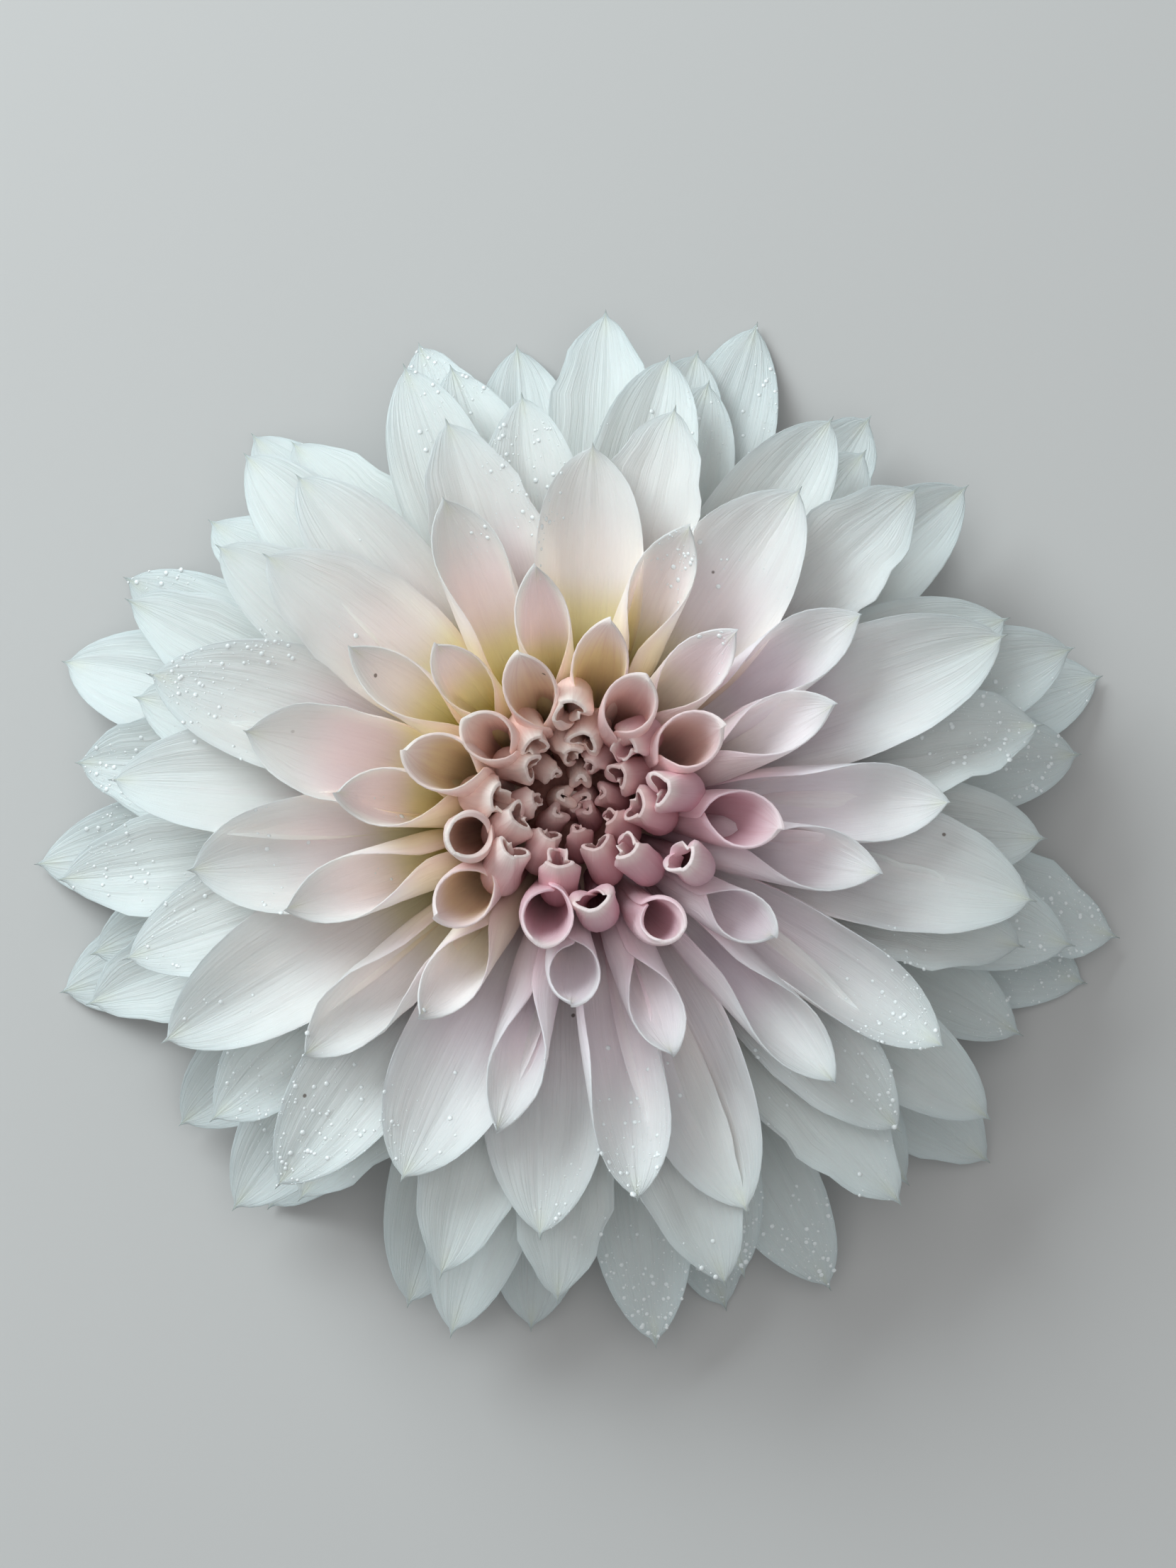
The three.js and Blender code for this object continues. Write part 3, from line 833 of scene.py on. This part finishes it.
def curve_through(corners, steps):
    """Smooth outline through a few corners, by Catmull and Rom's rule."""
    ends = [corners[0], *corners, corners[-1]]
    outline = [corners[0]]
    for before, start, stop, after in zip(ends, ends[1:], ends[2:], ends[3:]):
        for k in range(1, steps + 1):
            s = k / steps
            outline.append(tuple(
                0.5 * (2 * b + (c - a) * s + (2 * a - 5 * b + 4 * c - d) * s * s
                       + (3 * b - a - 3 * c + d) * s ** 3)
                for a, b, c, d in zip(before, start, stop, after)))
    return outline


def mottled(name, first, second, scale, roughness, relief):
    """Plain living tissue: two tones in soft patches, and a fine skin."""
    finish = Finish(name)
    place = finish.tree.nodes.new("ShaderNodeTexCoord").outputs["Object"]
    patches = finish.put("ShaderNodeTexNoise", Vector=place, Scale=scale, Detail=4.0)
    tone = smooth(0.35, 0.65, Measure(finish.tree, patches.outputs[0]))
    finish.feed("Base Color", finish.blend(tone, first, second))
    skin = finish.put("ShaderNodeTexNoise", Vector=place, Scale=scale * 8, Detail=3.0)
    bump = finish.put("ShaderNodeBump", Strength=relief, Distance=0.0003, Height=skin.outputs[0])
    finish.feed("Normal", bump.outputs[0])
    finish.set(Roughness=roughness, Subsurface_Weight=0.15, Subsurface_Scale=0.001)
    return finish.material


head_flesh = mottled("head flesh", (0.58, 0.38, 0.30), (0.70, 0.54, 0.40),
                     scale=300.0, roughness=0.6, relief=0.3)
head_core = turned_mesh("flower_head", curve_through(HEAD_OUTLINE, steps=5), sides=48,
                        material=head_flesh)
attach(head_core, "root")
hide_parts("ray_florets")

disc_flesh = mottled("disc flesh", (0.30, 0.12, 0.10), (0.46, 0.22, 0.18),
                     scale=500.0, roughness=0.6, relief=0.4)
disc = turned_mesh("centre_disc", curve_through(DISC_OUTLINE, steps=5), sides=40,
                   material=disc_flesh)
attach(disc, "root")
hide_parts("centre_florets")

# Inner bracts. Thin, pale, papery scales lapped into a shallow cup that holds the head from
# below; they grow from the head's base and press against the lowest petals.
INNER_BRACTS = 8
INNER_BRACT_REACH = 12.45
INNER_BRACT_HALF_WIDTH = 4.2
CUP_OUTLINE = [(4.4, 5.1), (7.0, 5.9), (9.0, 6.8), (10.9, 8.7)]


def grow_bracts_tree():
    tree, given = tree_with("bracts in a ring", (
        ("Bracts", "Int", 5),
        ("Thickness", "Float", 0.8),
        ("First bearing", "Float", 0.0),
        ("Root radius", "Float", 2.0),
        ("Reach", "Float", 15.0),
        ("Half width", "Float", 3.5),
        ("Base share", "Float", 1.0),
        ("Foot height", "Float", 4.0),
        ("Rise", "Float", 0.0),
        ("Arch", "Float", 0.0),
        ("Droop", "Float", 0.0),
        ("Cupping", "Float", 0.0),
        ("Axis X", "Float", 0.0),
        ("Axis Y", "Float", 0.0),
        ("Bract", "Material", None),
    ))

    def size(name):
        return Measure(tree, given[name])

    sheets = numbered_sheets(tree, given["Bracts"], first=0, rows_along=28, rows_around=41)
    k = recalled(tree, "rank")
    own = spread(k, 5)
    bearing = (size("First bearing") + 360.0 * k / size("Bracts") + 3.0 * own) * DEGREE
    s = (recalled(tree, "row") * (math.pi / 2)).sin()
    v, plump = round_the_blade(recalled(tree, "lap"))

    # A leaf shape, widest past its middle, that rises, arches and then droops outwards.
    narrow = mix(size("Base share"), 1.0, ((s / 1.3).least(1.0) * math.pi).sin())
    tip = (1.0 - s ** 4.5).most(0.0) ** 0.65
    b = v * size("Half width") * narrow * tip
    r = size("Root radius") + (size("Reach") * (1.0 + 0.03 * own) - size("Root radius")) * s
    z = size("Foot height") + size("Rise") * s ** 1.3 + size("Arch") * (s * 0.9 * math.pi).sin()
    z = z - size("Droop") * s * s + size("Cupping") * b * b
    z = z + 0.12 * (7.0 * s + 9.0 * own).sin() * v * v * s
    z = z - size("Thickness") * 0.5 * plump * (1.0 - s ** 24.0).most(0.0).root()
    close_blades(tree, sheets, {"along": s, "across": v, "own": own},
                 placed(tree, size, bearing, r, b, z), given["Bract"])
    return tree


def scale_color(finish, veins):
    tone = finish.ramp(finish.attribute("along"), (
        (0.0, (0.34, 0.42, 0.14)),
        (0.5, (0.56, 0.60, 0.30)),
        (1.0, (0.74, 0.68, 0.46)),
    ))
    vein_olive = (0.40, 0.36, 0.16)
    return finish.blend((veins - 0.4).most(0.0) * 1.6, tone, vein_olive)


bracts_tree = grow_bracts_tree()
papery = petal_finish("papery scale", scale_color, roughness=0.6, relief=0.5, glow=0.15)
cup_flesh = mottled("cup flesh", (0.34, 0.42, 0.15), (0.46, 0.52, 0.24),
                    scale=260.0, roughness=0.6, relief=0.3)
scales = grown_piece("inner_bract_scales", bracts_tree, {
    "Bracts": INNER_BRACTS,
    "Thickness": 0.6,
    "First bearing": 180.0 / INNER_BRACTS,
    "Root radius": 6.0,
    "Reach": INNER_BRACT_REACH,
    "Half width": INNER_BRACT_HALF_WIDTH,
    "Base share": 1.0,
    "Foot height": 5.9,
    "Rise": 2.5,
    "Axis X": axis_x,
    "Axis Y": axis_y,
    "Bract": papery,
})
cup = turned_mesh("inner_bract_cup", curve_through(CUP_OUTLINE, steps=6), sides=56,
                  material=cup_flesh)
for piece in (scales, cup):
    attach(piece, "root")
    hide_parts("inner_bracts")

# Stalk and outer bracts. The green stalk is cut off short and flat; its top spreads into five
# fleshy leaf-like bracts that curl down under the bloom.
OUTER_BRACTS = 5
OUTER_BRACT_REACH = 14.6
OUTER_BRACT_HALF_WIDTH = 3.5
CUT_EDGE = [(3.2, 0.0), (3.55, 0.12), (3.6, 0.4)]
STALK_OUTLINE = [(3.6, 0.8), (3.6, 2.6), (4.0, 3.9), (4.1, 4.6)]


def leaf_color(finish, veins):
    tone = finish.ramp(finish.attribute("along"), (
        (0.0, (0.20, 0.33, 0.08)),
        (0.6, (0.15, 0.30, 0.07)),
        (1.0, (0.24, 0.30, 0.10)),
    ))
    vein_green = (0.32, 0.42, 0.16)
    return finish.blend((veins - 0.4).most(0.0) * 1.8, tone, vein_green)


fleshy = petal_finish("fleshy bract", leaf_color, roughness=0.48, relief=0.5, glow=0.1)
stalk_skin = mottled("stalk skin", (0.17, 0.30, 0.08), (0.26, 0.38, 0.13),
                     scale=220.0, roughness=0.5, relief=0.4)
cut_flesh = mottled("cut stalk", (0.44, 0.52, 0.26), (0.58, 0.62, 0.38),
                    scale=700.0, roughness=0.6, relief=0.5)
outer = grown_piece("outer_bract_leaves", bracts_tree, {
    "Bracts": OUTER_BRACTS,
    "Thickness": 0.9,
    "First bearing": 12.0,
    "Root radius": 1.5,
    "Reach": OUTER_BRACT_REACH,
    "Half width": OUTER_BRACT_HALF_WIDTH,
    "Base share": 0.5,
    "Foot height": 3.4,
    "Arch": 1.5,
    "Droop": 1.7,
    "Cupping": 0.05,
    "Axis X": axis_x,
    "Axis Y": axis_y,
    "Bract": fleshy,
})
stalk = turned_mesh("stalk_stub", [*CUT_EDGE, *curve_through(STALK_OUTLINE, steps=5)],
                    sides=40, material=stalk_skin)
stalk.data.materials.append(cut_flesh)
for side in stalk.data.polygons:
    faces_down, on_the_cut = side.normal.z < -0.9, side.center.z < 0.1 * MM
    if faces_down and on_the_cut:
        side.material_index = 1
for piece in (outer, stalk):
    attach(piece, "root")
    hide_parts("stalk_and_outer_bracts")

# Floor, light and camera: a pale plain table under a soft sky from the upper left, looked at
# from almost straight above.
TABLE_HALF = 0.9
TABLE_TONE = (0.64, 0.635, 0.63, 1)
SKY_TONE = (0.93, 0.98, 1.0, 1)
SKY_STRENGTH = 0.27
BLOOM_MIDDLE = 0.02

floor_mesh = bpy.data.meshes.new("table")
floor_mesh.from_pydata([(-TABLE_HALF, -TABLE_HALF, 0), (TABLE_HALF, -TABLE_HALF, 0),
                        (TABLE_HALF, TABLE_HALF, 0), (-TABLE_HALF, TABLE_HALF, 0)],
                       [], [(0, 1, 2, 3)])
floor = bpy.data.objects.new("table", floor_mesh)
bpy.context.scene.collection.objects.link(floor)
table = Finish("pale table")
table.set(Base_Color=TABLE_TONE, Roughness=0.85)
floor_mesh.materials.append(table.material)

world = bpy.data.worlds.new("soft sky")
world.use_nodes = True
sky = world.node_tree.nodes["Background"].inputs
sky["Color"].default_value = SKY_TONE
sky["Strength"].default_value = SKY_STRENGTH
bpy.context.scene.world = world


def soft_light(name, place, size, power, color):
    lamp = bpy.data.lights.new(name, "AREA")
    lamp.size = size
    lamp.energy = power
    lamp.color = color
    holder = bpy.data.objects.new(name, lamp)
    holder.location = place
    aim = Vector((0, 0, BLOOM_MIDDLE)) - Vector(place)
    holder.rotation_euler = aim.to_track_quat("-Z", "Y").to_euler()
    bpy.context.scene.collection.objects.link(holder)


soft_light("sky window", (-0.46, 0.46, 0.46), size=0.5, power=4.8, color=(0.895, 0.985, 1.0))
soft_light("overhead sheet", (-0.02, 0.0, 0.75), size=0.6, power=1.25, color=(1.0, 0.985, 0.97))

# The camera's distance and tilt, the height that it takes in at the bloom's middle, and how
# far the middle of its view is from the bloom's axis, in metres.
DISTANCE = 0.38
ELEVATION = math.radians(85)
VIEW_HEIGHT = 0.181
SENSOR = 36
OFF_AXIS = (0.0015, 0.0023)

target = Vector((axis_x + OFF_AXIS[0], axis_y + OFF_AXIS[1], BLOOM_MIDDLE))
camera = bpy.data.cameras.new("camera")
camera.sensor_fit = "AUTO"
camera.sensor_width = SENSOR
camera.lens = SENSOR * DISTANCE / VIEW_HEIGHT
eye = bpy.data.objects.new("camera", camera)
eye.location = target + Vector((0, -math.cos(ELEVATION), math.sin(ELEVATION))) * DISTANCE
eye.rotation_euler = (target - eye.location).to_track_quat("-Z", "Y").to_euler()
bpy.context.scene.collection.objects.link(eye)
bpy.context.scene.camera = eye
bpy.context.scene.view_settings.view_transform = "Standard"
